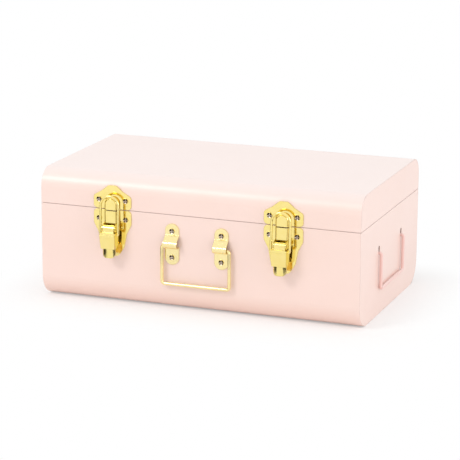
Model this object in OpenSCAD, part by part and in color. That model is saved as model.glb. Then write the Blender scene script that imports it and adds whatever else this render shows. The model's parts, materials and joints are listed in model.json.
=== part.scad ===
// Small painted steel trunk with a hinged lid, two toggle latches, a wire drop
// handle on the front and one at each end.
// Origin: centre of the bottom face. +X along the length, +Y to the hinges, +Z up.

/* [Case] */
// Length over the end panels
case_w = 400; // [320:5:500]
// Depth from the front face to the back face
case_d = 240; // [180:5:320]
// Height over the closed lid
case_h = 158; // [140:1:220]
// Height of the lid
lid_h = 41; // [38:0.5:60]
// Radius of the two upper long edges
top_r = 21.5; // [10:0.5:24]
// Radius of the two lower long edges
bottom_r = 28; // [12:0.5:32]
// Thickness of the steel sheet
sheet_t = 0.8; // [0.6:0.1:1.2]
// Width of the open line between the body and the lid
seam_gap = 0.6; // [0.4:0.1:1]
// Depth of the flange folded round each end panel
end_flange = 6; // [5:0.5:6.5]
// Clearance between an end panel's flange and the wrapped sheet
panel_fit = 0.05; // [0.02:0.01:0.1]

/* [Collar] */
// Height of the collar above the seam, inside the lid
collar_up = 6; // [4:0.5:7]
// Depth of the collar below the seam, against the body
collar_down = 6.5; // [5:0.5:7]
// Clearance between the collar and the lid
collar_gap = 0.5; // [0.4:0.05:0.6]

/* [Hinges] */
// Distance of each hinge from the middle
hinge_x = 115; // [70:1:140]
// Width of a hinge leaf
hinge_w = 42; // [30:1:60]
// Height of a hinge leaf from the hinge axis
hinge_leaf_h = 15; // [14:0.5:16]
// Thickness of a hinge leaf
hinge_t = 1; // [0.8:0.1:1.2]
// Outer radius of the rolled knuckles
knuckle_r = 2.6; // [2.4:0.1:3]
// Radius of a hinge pin
hinge_pin_r = 1.5; // [1.2:0.05:1.6]
// Gap between two knuckles, and between a knuckle and the case
knuckle_gap = 0.3; // [0.2:0.05:0.5]
// Radius of the head at each end of a hinge pin
hinge_head_r = 2.2; // [2:0.1:2.4]
// Thickness of that head
hinge_head_t = 0.8; // [0.5:0.1:1.2]
// Distance of a hinge rivet from the middle of its leaf
hinge_rivet_x = 13; // [10:0.5:16]
// Distance of a hinge rivet from the hinge axis
hinge_rivet_z = 10; // [9.5:0.25:10.5]

/* [Latch plates] */
// Distance of each latch from the middle
latch_x = 107; // [80:1:130]
// Width of the latch plates
plate_w = 48; // [44:0.5:56]
// Thickness of the latch plates
plate_t = 1; // [0.8:0.1:1.2]
// Height of the keeper plate above the seam
keeper_h = 29; // [27:0.5:31]
// Length of the base plate below the seam
base_h = 56.5; // [54:0.5:60]
// Radius of the plate corners beside the seam
plate_corner_r = 4.5; // [3:0.25:6]
// Half the width of the keeper plate's crown
crown_x = 5; // [4:0.25:7]
// Width of the pressed housing on both plates
housing_w = 16.4; // [15.6:0.2:17]
// Height of the housing off the case
housing_rise = 8; // [7.5:0.1:8.5]
// Top of the keeper housing above the seam
housing_top = 15.2; // [14:0.2:17]
// Lower end of the base housing below the seam
housing_low = 15.2; // [14:0.1:15.3]
// Radius of the housing's front edges
housing_edge_r = 3; // [2:0.25:4]
// Distance of a latch rivet from the middle of its plate
latch_rivet_x = 17; // [15:0.25:18.5]
// Distance of a latch rivet from the seam
latch_rivet_z = 11.4; // [11:0.1:12.5]

/* [Latch lever] */
// Depth of the lever's pivot below the seam
pivot_drop = 20.8; // [20.5:0.1:22]
// Distance of the lever's pivot from the case
pivot_out = 11.4; // [11:0.1:12]
// Outer radius of the lever's barrel
barrel_r = 3.7; // [3.5:0.1:4]
// Radius of the lever's pin
lever_pin_r = 1.5; // [1.2:0.05:1.7]
// Thickness of the lever's metal
lever_t = 1.2; // [1:0.1:1.4]
// Side gap between the lever and the ears that carry it
ear_gap = 0.2; // [0.15:0.05:0.3]
// Distance from the lever's pivot to where its lip starts
lip_start = 24.3; // [22:0.1:27]
// Distance from the lever's pivot to the tip of its lip
lever_reach = 35.5; // [33:0.25:38]
// Distance of the lever's front from the case below the shelf under its barrel
lever_top_out = 18.8; // [17.5:0.1:20]
// Distance of the lever's front from the case where the lip starts
lever_front = 16.4; // [15.5:0.1:18]
// Drop of the sloping shelf between the barrel and the lever's front
shelf_drop = 2.2; // [1.8:0.1:3]
// Depth of the lever's side flanges behind its front
flange_depth = 12.5; // [11:0.25:13]
// Width of the lip
lip_w = 16; // [13:0.5:17]
// Radius of the lip's rounded front
lip_r = 11; // [9:0.5:14]
// How far the lip's rounded front lies behind the lever's front
lip_in = 0.9; // [0.6:0.05:1.2]

/* [Latch bail] */
// Radius of the bail's wire
bail_wire_r = 1.5; // [1.3:0.05:1.6]
// Depth of the bail's pivot below the lever's pivot
bail_drop = 7.5; // [7.3:0.1:8.5]
// How far the bail's pivot lies before the lever's pivot
bail_fore = 0.2; // [0:0.05:0.4]
// Gap between the bail's arch and the top of the keeper housing
arch_gap = 0.7; // [0.5:0.05:1]
// Gap between the bail's arch and the front of the keeper housing
stand_gap = 0.3; // [0.25:0.05:0.5]
// Side gap between the bail's legs and the lever
leg_gap = 0.3; // [0.25:0.05:0.4]
// Bend radius at the bail's feet
foot_bend = 1.8; // [1.75:0.05:1.9]

/* [Front handle] */
// Depth of the front handle's axis below the seam
front_axis_drop = 36; // [34:0.5:42]
// Distance of that axis from the case
front_axis_out = 5; // [4.8:0.1:5.6]
// Distance of each bracket from the middle
bracket_x = 31; // [26:0.5:40]
// Width of a bracket
bracket_w = 17.4; // [14:0.2:22]
// Thickness of a bracket's strap
bracket_t = 1.2; // [1:0.1:1.6]
// Top of a bracket above the axis
bracket_up = 25.5; // [25:0.5:28]
// Lower end of a bracket below the axis
bracket_down = 24; // [23:0.5:26]
// Where the bracket's saddle starts above the axis
saddle_rise = 12; // [10.5:0.25:12.2]
// Distance of the upper bracket rivet above the axis
bracket_rivet_up = 16.6; // [16.4:0.1:17.5]
// Distance of the lower bracket rivet below the axis
bracket_rivet_down = 15.2; // [13:0.1:16.5]
// Radius of the front handle's wire
front_wire_r = 2; // [1.6:0.1:2.2]
// Clearance of that wire in the saddle
saddle_gap = 0.4; // [0.3:0.05:0.5]
// Room left in the saddle above that wire
saddle_room = 1.4; // [1:0.1:1.6]
// Side gap between the handle's legs and the brackets
front_leg_gap = 0.6; // [0.4:0.1:1.2]
// Drop of the handle below its axis
front_drop = 46.7; // [42:0.5:52]
// Bend radius of the handle's corners
front_bend = 3.4; // [2.6:0.1:5]
// Length of wire inside each bracket
front_grip = 15; // [10:0.5:15.5]

/* [End handles] */
// Depth of the end handles' axis below the seam
side_axis_drop = 41; // [38:0.5:46]
// Radius of the end handles' wire
side_wire_r = 1.9; // [1.6:0.1:2]
// Half the distance between the two slots of a handle
side_half_w = 46; // [36:0.5:60]
// Drop of the handle's bar below its axis
side_drop = 43.7; // [38:0.5:50]
// Gap between the hanging wire and the end panel
side_stand = 1.2; // [1:0.1:1.6]
// Bend radius of the end handles' wire
side_bend = 2.9; // [2.6:0.05:2.9]
// Running clearance of the handle's journals in their clips
journal_fit = 0.1; // [0.05:0.01:0.15]
// Length of each journal from its slot inwards
journal_len = 14; // [13:0.5:18]
// Clearance round the wire in its slot
slot_gap = 0.5; // [0.4:0.05:0.7]
// Width of a clip along the journal
clip_w = 8; // [6:0.5:8.5]
// Thickness of a clip
clip_t = 1; // [0.8:0.1:1.2]
// Length of a clip's foot
clip_foot = 6; // [5:0.5:9]
// Distance from a slot to its clip
clip_set = 4.2; // [4:0.1:5]

/* [Rivets] */
// Radius of a rivet's shank
rivet_r = 1.6; // [1.4:0.05:1.8]
// Clearance round a shank
rivet_fit = 0.05; // [0.02:0.01:0.1]
// Radius of a rivet's rolled head
rivet_head_r = 3.3; // [2.9:0.1:3.4]
// Height of a rolled head
rivet_head_h = 1.1; // [0.8:0.1:1.3]
// Radius of the flat tail inside the case
rivet_tail_r = 2.8; // [2.4:0.1:3]
// Thickness of that tail
rivet_tail_t = 0.7; // [0.5:0.1:1]

/* [Fits] */
// Running clearance round a pin
run_fit = 0.05; // [0.02:0.01:0.09]

/* [Hidden] */
$fn = 64;

pink = [0.98, 0.84, 0.80];
gold = [0.93, 0.78, 0.35];
pale_gold = [0.95, 0.84, 0.55];
steel = [0.78, 0.78, 0.76];

// Height of the seam between the body and the lid
seam_z = case_h - lid_h;
// Hinge axis, just outside the back face, at the seam
hinge_y = case_d / 2 + knuckle_r + knuckle_gap;
// The two rows of knuckles share the leaf in thirds
knuckle_third = hinge_w / 6;

// Lever: it turns between the ears, and its flanges turn outside them
ear_out = housing_w / 2;
ear_in = ear_out - plate_t;
lever_half = ear_out + ear_gap + lever_t;
barrel_half = ear_in - ear_gap;
// Radius of the ears round the lever's pin
ear_r = barrel_r + ear_gap;
// Height at which the lever spreads out below the ears
shoulder_drop = ear_r + 1;
// Flat head on each end of the lever's pin
lever_head_r = lever_pin_r + 0.7;
lever_head_t = 0.9;

// Bail: legs outside the lever, leaning out so that the arch stands before the housing
bail_leg = lever_half + leg_gap + bail_wire_r;
bail_pivot_out = pivot_out + bail_fore;
bail_pivot_drop = pivot_drop + bail_drop;
arch_z = housing_top + arch_gap + bail_wire_r;
arch_out = housing_rise + stand_gap + bail_wire_r;
bail_dz = arch_z + bail_pivot_drop;
bail_dy = arch_out - bail_pivot_out;
bail_len = sqrt(bail_dz * bail_dz + bail_dy * bail_dy);
bail_lean = atan2(bail_dy, bail_dz);
// Front of the lever at its pivot, a little inside the barrel's own front
lever_neck = pivot_out + barrel_r - 0.3;

// Front handle
front_z = seam_z - front_axis_drop;
saddle_in_r = front_wire_r + saddle_gap + saddle_room;
saddle_out_r = saddle_in_r + bracket_t;
front_leg_x = bracket_x + bracket_w / 2 + front_leg_gap + front_wire_r;
front_end_x = bracket_x + bracket_w / 2 - front_grip;

// End handles: the journals lie against the inner face of the end panel
side_z = seam_z - side_axis_drop;
journal_x = -(sheet_t + journal_fit + side_wire_r);
side_leg_x = side_stand + side_wire_r;
side_stub = side_leg_x - journal_x;
// How far the bent wire reaches inwards of its leg, at the panel's inner face
wire_in_r = side_bend - side_wire_r;
slot_reach = side_bend - sqrt(wire_in_r * wire_in_r - (wire_in_r - journal_fit) * (wire_in_r - journal_fit));
slot_half = (slot_reach + side_wire_r) / 2 + slot_gap;
slot_shift = (slot_reach - side_wire_r) / 2;

function unit(v) = v / norm(v);

// Points of an arc about c, from direction a0 through the turn da
function arc(c, r, a0, da, n) = [for (i = [0:n]) c + r * [cos(a0 + da * i / n), sin(a0 + da * i / n)]];

// One corner p of an outline between its neighbours, rounded with radius p[2]
function corner(before, p, after, n) =
    let (
        at = [p[0], p[1]],
        u = unit([before[0], before[1]] - at),
        v = unit([after[0], after[1]] - at),
        half = acos(u * v) / 2,
        first = at + u * p[2] / tan(half),
        last = at + v * p[2] / tan(half),
        c = at + unit(u + v) * p[2] / sin(half),
        a0 = atan2(first[1] - c[1], first[0] - c[0]),
        a1 = atan2(last[1] - c[1], last[0] - c[0]),
        turn = (a1 - a0 + 540) % 360 - 180
    )
    arc(c, p[2], a0, turn, n);

// Closed outline from [x, y, radius] corners
function rounded(points, n = 6) =
    let (count = len(points))
    [for (i = [0:count - 1])
        for (q = corner(points[(i + count - 1) % count], points[i], points[(i + 1) % count], n))
            q];

// Corners of the right half, from top to bottom, completed by their mirror image
function both_sides(half) =
    concat(half, [for (i = [len(half) - 1:-1:0]) [-half[i][0], half[i][1], half[i][2]]]);

// Where the line from point p touches the circle about c, on the side given by turn
function touch(p, c, r, turn) =
    let (d = p - c, a = atan2(d[1], d[0]) + turn * acos(r / norm(d)))
    c + r * [cos(a), sin(a)];

// Extrude a (y, z) profile along X, centred
module along_x(length) {
    translate([-length / 2, 0, 0]) rotate([90, 0, 90]) linear_extrude(length) children();
}

// Extrude an (x, z) outline towards +Y, starting at y = 0
module along_y(length) {
    rotate([90, 0, 0]) mirror([0, 0, 1]) linear_extrude(length) children();
}

// Cylinder along X, centred on the origin
module rod_x(r, length) {
    rotate([0, 90, 0]) cylinder(r = r, h = length, center = true);
}

// Cylinder along +Y, starting at y = from
module rod_y(r, from, length) {
    translate([0, from, 0]) rotate([-90, 0, 0]) cylinder(r = r, h = length);
}

// Work outwards (+Y) from the front face, at height z
module on_front(x, z) {
    translate([x, -case_d / 2, z]) mirror([0, 1, 0]) children();
}

// Work outwards (+Y) from the back face
module on_back(x, z) {
    translate([x, case_d / 2, z]) children();
}

// Work outwards (+X) from an end panel: side is 1 at the right, -1 at the left
module on_end(side) {
    if (side > 0) {
        translate([case_w / 2, 0, side_z]) children();
    } else {
        mirror([1, 0, 0]) translate([case_w / 2, 0, side_z]) children();
    }
}

// Straight length of round wire
module wire_run(a, b, r) {
    d = b - a;
    translate(a) rotate([0, acos(d[2] / norm(d)), atan2(d[1], d[0])]) cylinder(r = r, h = norm(d));
}

// One bend of wire at point p, between directions towards a and b
module wire_bend(a, p, b, r, bend) {
    u = unit(a - p);
    v = unit(b - p);
    inner = acos(u * v);
    c = p + unit(u + v) * bend / sin(inner / 2);
    x_axis = unit(p + u * bend / tan(inner / 2) - c);
    z_axis = unit(cross(v, u));
    y_axis = cross(z_axis, x_axis);
    multmatrix([
        [x_axis[0], y_axis[0], z_axis[0], c[0]],
        [x_axis[1], y_axis[1], z_axis[1], c[1]],
        [x_axis[2], y_axis[2], z_axis[2], c[2]],
        [0, 0, 0, 1]
    ])
    rotate_extrude(angle = 180 - inner) translate([bend, 0]) circle(r);
}

// Length taken by a bend at corner i of a wire
function bend_cut(points, bends, i) =
    (i == 0 || i == len(points) - 1) ? 0 :
    bends[i] / tan(acos(unit(points[i - 1] - points[i]) * unit(points[i + 1] - points[i])) / 2);

// Round wire along a path, with a bend radius at each inner corner
module wire(points, bends, r) {
    for (i = [0:len(points) - 2]) {
        a = points[i];
        b = points[i + 1];
        u = unit(b - a);
        start = bend_cut(points, bends, i);
        stop = bend_cut(points, bends, i + 1);
        if (norm(b - a) - start - stop > 0.001) {
            wire_run(a + u * start, b - u * stop, r);
        }
    }
    for (i = [1:len(points) - 2]) {
        wire_bend(points[i - 1], points[i], points[i + 1], r, bends[i]);
    }
}

// Rivet through a grip: rolled hollow head outwards (+Y), flat tail inside
module rivet(grip) {
    roll_r = rivet_head_r / 4;
    rotate([-90, 0, 0]) {
        rotate_extrude() {
            intersection() {
                translate([rivet_head_r - roll_r, 0]) scale([1, rivet_head_h / roll_r]) circle(roll_r);
                square([rivet_head_r, rivet_head_h]);
            }
            square([rivet_head_r - roll_r, rivet_head_h / 4]);
        }
        translate([0, 0, -grip]) cylinder(r = rivet_r, h = grip);
        translate([0, 0, -grip - rivet_tail_t]) cylinder(r = rivet_tail_r, h = rivet_tail_t);
    }
}

// Hole for a rivet, along Y through the sheet and what is riveted to it
module rivet_hole() {
    rod_y(rivet_r + rivet_fit, -4 * sheet_t, 8 * sheet_t);
}

// The case seen from its end, inset from the outer surface
module case_outline(inset) {
    low_r = bottom_r - inset;
    high_r = top_r - inset;
    half = case_d / 2 - inset;
    for (s = [-1, 1]) {
        translate([s * (half - low_r), inset + low_r]) circle(low_r);
        translate([s * (half - high_r), case_h - inset - high_r]) circle(high_r);
    }
    translate([-half, bottom_r]) square([2 * half, case_h - top_r - bottom_r]);
    translate([-(half - low_r), inset]) square([2 * (half - low_r), bottom_r]);
    translate([-(half - high_r), case_h - top_r]) square([2 * (half - high_r), top_r - inset]);
}

// The part of the case below (-1) or above (1) the seam, held back by a distance
module half_plane(side, back) {
    if (side < 0) {
        translate([-case_d, -case_h]) square([2 * case_d, case_h + seam_z - back]);
    } else {
        translate([-case_d, seam_z + back]) square([2 * case_d, case_h]);
    }
}

// Wrapped sheet of the body (-1) or the lid (1)
module wrap(side) {
    along_x(case_w) intersection() {
        difference() {
            case_outline(0);
            case_outline(sheet_t);
        }
        half_plane(side, seam_gap / 2);
    }
}

// Flanged panel that closes the right end of the body (-1) or the lid (1)
module end_panel(side) {
    flange_back = side < 0 ? collar_down + 1 : collar_up + 2;
    translate([case_w / 2 - sheet_t / 2, 0, 0]) along_x(sheet_t) intersection() {
        case_outline(sheet_t + panel_fit);
        half_plane(side, seam_gap / 2);
    }
    translate([case_w / 2 - end_flange / 2, 0, 0]) along_x(end_flange) intersection() {
        difference() {
            case_outline(sheet_t + panel_fit);
            case_outline(2 * sheet_t + panel_fit);
        }
        half_plane(side, flange_back);
    }
}

// Where the two latches' rivets go through the case: side is -1 below the seam, 1 above
module each_latch_rivet(side) {
    for (x = [-latch_x, latch_x]) {
        for (s = [-1, 1]) {
            on_front(x + s * latch_rivet_x, seam_z + side * latch_rivet_z) children();
        }
    }
}

module each_hinge_rivet(side) {
    for (x = [-hinge_x, hinge_x]) {
        for (s = [-1, 1]) {
            on_back(x + s * hinge_rivet_x, seam_z + side * hinge_rivet_z) children();
        }
    }
}

module each_bracket_rivet() {
    for (x = [-bracket_x, bracket_x]) {
        for (z = [bracket_rivet_up, -bracket_rivet_down]) {
            on_front(x, front_z + z) children();
        }
    }
}

module body_wrap() {
    color(pink) difference() {
        wrap(-1);
        each_latch_rivet(-1) rivet_hole();
        each_hinge_rivet(-1) rivet_hole();
        each_bracket_rivet() rivet_hole();
    }
}

module lid_wrap() {
    color(pink) difference() {
        wrap(1);
        each_latch_rivet(1) rivet_hole();
        each_hinge_rivet(1) rivet_hole();
    }
}

// Slot in an end panel for one leg of its handle
module handle_slot() {
    low = slot_half - side_wire_r - slot_gap;
    high = side_stub - low;
    rotate([0, 90, 0]) linear_extrude(4 * sheet_t, center = true) {
        translate([-low, 0]) circle(slot_half);
        translate([-high, 0]) circle(slot_half);
        translate([-high, -slot_half]) square([high - low, 2 * slot_half]);
    }
}

module body_end(side) {
    color(pink) difference() {
        if (side > 0) {
            end_panel(-1);
        } else {
            mirror([1, 0, 0]) end_panel(-1);
        }
        on_end(side) {
            for (s = [-1, 1]) {
                translate([0, s * (side_half_w - slot_shift), 0]) handle_slot();
            }
        }
    }
}

module lid_end(side) {
    color(pink) {
        if (side > 0) {
            end_panel(1);
        } else {
            mirror([1, 0, 0]) end_panel(1);
        }
    }
}

// Plan of the collar, inset from the outer faces of the case
module collar_plan(inset) {
    square([case_w - 2 * inset, case_d - 2 * inset], center = true);
}

module collar_ring(inset, low, high) {
    translate([0, 0, low]) linear_extrude(high - low) difference() {
        collar_plan(inset);
        collar_plan(inset + sheet_t);
    }
}

// Rim strip: flat against the body, then set in to pass up into the lid
module body_collar() {
    color(pink) {
        collar_ring(sheet_t, seam_z - collar_down, seam_z - seam_gap / 2);
        collar_ring(sheet_t + collar_gap, seam_z - 1.5 * seam_gap, seam_z + collar_up);
    }
}

// One hinge leaf: side is -1 on the body with two knuckles, 1 on the lid with one
module hinge_leaf(x, side) {
    reach = knuckle_r + knuckle_gap;
    bands = side < 0 ?
        [[-hinge_w / 2, -knuckle_third - knuckle_gap / 2], [knuckle_third + knuckle_gap / 2, hinge_w / 2]] :
        [[-knuckle_third + knuckle_gap / 2, knuckle_third - knuckle_gap / 2]];
    color(pink) translate([x, 0, seam_z]) difference() {
        union() {
            for (band = bands) {
                translate([(band[0] + band[1]) / 2, hinge_y, 0]) rod_x(knuckle_r, band[1] - band[0]);
                translate([band[0], case_d / 2, side < 0 ? -reach - 1 : 0])
                    cube([band[1] - band[0], hinge_t, reach + 1]);
            }
            translate([0, case_d / 2, 0]) along_y(hinge_t) polygon(rounded([
                [-hinge_w / 2, side * reach, 0.5],
                [hinge_w / 2, side * reach, 0.5],
                [hinge_w / 2, side * hinge_leaf_h, 3],
                [-hinge_w / 2, side * hinge_leaf_h, 3]
            ]));
        }
        translate([0, hinge_y, 0]) rod_x(hinge_pin_r + run_fit, 2 * hinge_w);
        for (s = [-1, 1]) {
            translate([s * hinge_rivet_x, case_d / 2, side * hinge_rivet_z]) rivet_hole();
        }
    }
}

module hinge_pin(x) {
    color(steel) translate([x, hinge_y, seam_z]) {
        rod_x(hinge_pin_r, hinge_w + 2 * hinge_head_t);
        for (s = [-1, 1]) {
            translate([s * (hinge_w + hinge_head_t + 0.2) / 2, 0, 0]) rod_x(hinge_head_r, hinge_head_t);
        }
    }
}

module hinge_rivets(side) {
    color(steel) each_hinge_rivet(side) {
        translate([0, hinge_t, 0]) rivet(hinge_t + sheet_t);
    }
}

// Section of the pressed housing: height is measured off the case
module housing_section(half, height, edge) {
    translate([-half, 0]) square([2 * half, height - edge]);
    translate([-half + edge, 0]) square([2 * (half - edge), height]);
    for (s = [-1, 1]) {
        translate([s * (half - edge), height - edge]) circle(edge);
    }
}

// Half of that section, for the domed end
module housing_half(half, height, edge) {
    intersection() {
        housing_section(half, height, edge);
        square([half, height]);
    }
}

// Run of the housing from z = low to z = high, as a block of the given half width
module housing_run(half, height, edge, low, high) {
    translate([0, 0, low]) linear_extrude(high - low) housing_section(half, height, edge);
}

// Keeper housing as a solid: a run from the seam that ends in a half dome
module keeper_block(half, height, edge, low) {
    dome_z = housing_top - housing_w / 2;
    housing_run(half, height, edge, low, dome_z);
    translate([0, 0, dome_z]) rotate([-90, 0, 0]) rotate([0, 0, 180])
        rotate_extrude(angle = 180) housing_half(half, height, edge);
}

// Keeper on the lid: a flat crowned plate with a domed housing
module latch_keeper(x) {
    color(gold) on_front(x, seam_z) difference() {
        union() {
            along_y(plate_t) polygon(rounded(both_sides([
                [crown_x, keeper_h, 0.9 * crown_x],
                [0.55 * plate_w / 2, 0.765 * keeper_h, 0.27 * keeper_h],
                [plate_w / 2, 0.545 * keeper_h, 0.13 * keeper_h],
                [plate_w / 2, seam_gap, plate_corner_r]
            ])));
            keeper_block(housing_w / 2, housing_rise, housing_edge_r, seam_gap);
        }
        translate([0, -plate_t, -1])
            keeper_block(ear_in, housing_rise, housing_edge_r - plate_t, 0);
        for (s = [-1, 1]) {
            translate([s * latch_rivet_x, 0, latch_rivet_z]) rivet_hole();
        }
    }
}

// Side view of an ear: it rises from the housing's side wall to the lever's pin
module ear_side() {
    pin = [pivot_out, -pivot_drop];
    start = [housing_rise - housing_edge_r + 0.5 * plate_t, -housing_low + plate_t];
    meet = touch(start, pin, ear_r, -1);
    translate(pin) circle(ear_r);
    polygon([[0, start[1]], start, meet, pin, [pin[0], pin[1] - ear_r], [0, pin[1] - ear_r]]);
}

// Base on the body: a waisted plate, a housing and two ears for the lever's pin
module latch_base(x) {
    color(gold) on_front(x, seam_z) difference() {
        union() {
            along_y(plate_t) polygon(rounded(both_sides([
                [plate_w / 2, -seam_gap, plate_corner_r],
                [plate_w / 2, -0.31 * base_h, 0.12 * base_h],
                [0.76 * plate_w / 2, -0.5 * base_h, 0.14 * base_h],
                [0.63 * plate_w / 2, -0.79 * base_h, 0.16 * base_h],
                [0.31 * plate_w / 2, -base_h, 0.115 * base_h]
            ])));
            housing_run(ear_out, housing_rise, housing_edge_r, -housing_low, -seam_gap);
            for (s = [-1, 1]) {
                translate([s * (ear_out + ear_in) / 2, 0, 0]) along_x(plate_t) ear_side();
            }
        }
        translate([0, -plate_t, 0])
            housing_run(ear_in, housing_rise, housing_edge_r - plate_t, -housing_low - 1, 0);
        translate([0, pivot_out, -pivot_drop]) rod_x(lever_pin_r + run_fit, 2 * housing_w);
        for (s = [-1, 1]) {
            translate([s * latch_rivet_x, 0, -latch_rivet_z]) rivet_hole();
        }
    }
}

// Side view of the lever as a filled shape: neck, sloping shelf, front, floor, flanges
module lever_side() {
    top_z = -pivot_drop - shoulder_drop;
    low_z = -pivot_drop - lip_start;
    rear = lever_top_out - flange_depth;
    polygon([
        [lever_neck - 3 * lever_t, -pivot_drop],
        [lever_neck, -pivot_drop],
        [lever_neck, top_z + lever_t / 2],
        [lever_top_out, top_z - shelf_drop],
        [lever_front, low_z],
        [lever_front - 0.4 * lip_w, low_z],
        [rear, top_z - 0.6 * lip_start],
        [rear, top_z - lever_t],
        [rear + lever_t, top_z],
        [lever_neck - 3 * lever_t, top_z]
    ]);
}

// Side view of the hollow behind the neck and the lever's front plate
module lever_hollow() {
    top_z = -pivot_drop - shoulder_drop;
    low_z = -pivot_drop - lip_start;
    polygon([
        [-lever_t, -pivot_drop - barrel_r],
        [lever_neck - lever_t, -pivot_drop - barrel_r],
        [lever_neck - lever_t, top_z - lever_t / 2],
        [lever_top_out - lever_t, top_z - shelf_drop - lever_t],
        [lever_front - lever_t, low_z + lever_t],
        [-lever_t, low_z + lever_t]
    ]);
}

// Front view of the lever: narrow neck between the ears, then a tapering body
module lever_front_view(inset) {
    polygon(rounded(both_sides([
        [barrel_half - inset, -pivot_drop + 1, 0.3],
        [barrel_half - inset, -pivot_drop - shoulder_drop + inset, 0.3],
        [lever_half - inset, -pivot_drop - shoulder_drop - 0.3 + inset, 1],
        [lever_half - inset, -bail_pivot_drop - 2 * bail_wire_r, 2 * bail_wire_r],
        [0.55 * lip_w - inset, -pivot_drop - lip_start - inset, 0.3]
    ]), 4));
}

// Rounded lip at the lower end of the lever
module lever_lip() {
    top_z = -pivot_drop - lip_start;
    tip_z = -pivot_drop - lever_reach;
    intersection() {
        translate([0, lever_front - lip_in - lip_r, tip_z]) difference() {
            cylinder(r = lip_r, h = top_z - tip_z + lever_t);
            translate([0, 0, -1]) cylinder(r = lip_r - lever_t, h = lever_reach);
        }
        along_y(2 * lever_top_out) polygon(rounded(both_sides([
            [lip_w / 2, top_z + lever_t, 0.3],
            [lip_w / 2, tip_z, 0.3 * lip_w]
        ])));
    }
}

module latch_lever(x) {
    color(gold) on_front(x, seam_z) difference() {
        union() {
            difference() {
                intersection() {
                    along_x(3 * lever_half) lever_side();
                    along_y(2 * lever_top_out) lever_front_view(0);
                }
                intersection() {
                    along_x(3 * lever_half) lever_hollow();
                    translate([0, -2 * lever_t, 0]) along_y(2 * lever_top_out) lever_front_view(lever_t);
                }
            }
            translate([0, pivot_out, -pivot_drop]) rod_x(barrel_r, 2 * barrel_half);
            lever_lip();
        }
        translate([0, pivot_out, -pivot_drop]) rod_x(lever_pin_r + run_fit, 2 * housing_w);
        translate([0, bail_pivot_out, -bail_pivot_drop]) rod_x(bail_wire_r + run_fit, 2 * housing_w);
    }
}

module latch_pin(x) {
    color(gold) on_front(x, seam_z) translate([0, pivot_out, -pivot_drop]) {
        rod_x(lever_pin_r, housing_w + lever_head_t);
        for (s = [-1, 1]) {
            translate([s * (ear_out + 0.05 + lever_head_t / 2), 0, 0]) rod_x(lever_head_r, lever_head_t);
        }
    }
}

// Wire bail: feet in the lever's flanges, legs up both sides, round arch at the top
module latch_bail(x) {
    foot = lever_half - lever_t - 0.6;
    color(gold) on_front(x, seam_z) translate([0, bail_pivot_out, -bail_pivot_drop]) rotate([-bail_lean, 0, 0])
        wire(
            [[-foot, 0, 0], [-bail_leg, 0, 0], [-bail_leg, 0, bail_len],
             [bail_leg, 0, bail_len], [bail_leg, 0, 0], [foot, 0, 0]],
            [0, foot_bend, bail_leg, bail_leg, foot_bend, 0],
            bail_wire_r
        );
}

module latch_rivets(side) {
    color(gold) each_latch_rivet(side) {
        translate([0, plate_t, 0]) rivet(plate_t + sheet_t);
    }
}

// Saddle of a bracket seen from its end, as a filled shape
module saddle_shape(r, start) {
    mid = [front_axis_out, saddle_room];
    low = saddle_room - r;
    meet = touch(start, mid, r, -1);
    translate(mid) circle(r);
    polygon([[-bracket_t, low], [front_axis_out, low], meet, start, [-bracket_t, start[1]]]);
}

// Strap bracket: two flat ends and a saddle that holds one end of the handle
module front_bracket(x) {
    color(pale_gold) on_front(x, front_z) difference() {
        intersection() {
            along_x(bracket_w) difference() {
                union() {
                    saddle_shape(saddle_out_r, [bracket_t, saddle_rise]);
                    translate([0, -bracket_down]) square([bracket_t, bracket_up + bracket_down]);
                }
                saddle_shape(saddle_in_r, [0, saddle_rise - bracket_t]);
                translate([-2 * bracket_t, -bracket_down]) square([2 * bracket_t, bracket_up + bracket_down]);
            }
            along_y(4 * front_axis_out) polygon(rounded([
                [bracket_w / 2, bracket_up, bracket_w / 2 - 0.3],
                [bracket_w / 2, -bracket_down, bracket_w / 2 - 0.3],
                [-bracket_w / 2, -bracket_down, bracket_w / 2 - 0.3],
                [-bracket_w / 2, bracket_up, bracket_w / 2 - 0.3]
            ], 10));
        }
        for (z = [bracket_rivet_up, -bracket_rivet_down]) {
            translate([0, 0, z]) rivet_hole();
        }
    }
}

module front_handle() {
    color(pale_gold) on_front(0, front_z) translate([0, front_axis_out, 0]) wire(
        [[-front_end_x, 0, 0], [-front_leg_x, 0, 0], [-front_leg_x, 0, -front_drop],
         [front_leg_x, 0, -front_drop], [front_leg_x, 0, 0], [front_end_x, 0, 0]],
        [0, front_bend, front_bend, front_bend, front_bend, 0],
        front_wire_r
    );
}

module front_bracket_rivets() {
    color(pale_gold) each_bracket_rivet() {
        translate([0, bracket_t, 0]) rivet(bracket_t + sheet_t);
    }
}

// Drop handle: journals inside the panel, stubs out through the slots, straight legs
module side_handle(side) {
    end_y = side_half_w - journal_len;
    color(pink) on_end(side) wire(
        [[journal_x, -end_y, 0], [journal_x, -side_half_w, 0], [side_leg_x, -side_half_w, 0],
         [side_leg_x, -side_half_w, -side_drop], [side_leg_x, side_half_w, -side_drop],
         [side_leg_x, side_half_w, 0], [journal_x, side_half_w, 0], [journal_x, end_y, 0]],
        [0, side_bend, side_bend, 1.4 * side_bend, 1.4 * side_bend, side_bend, side_bend, 0],
        side_wire_r
    );
}

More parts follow.
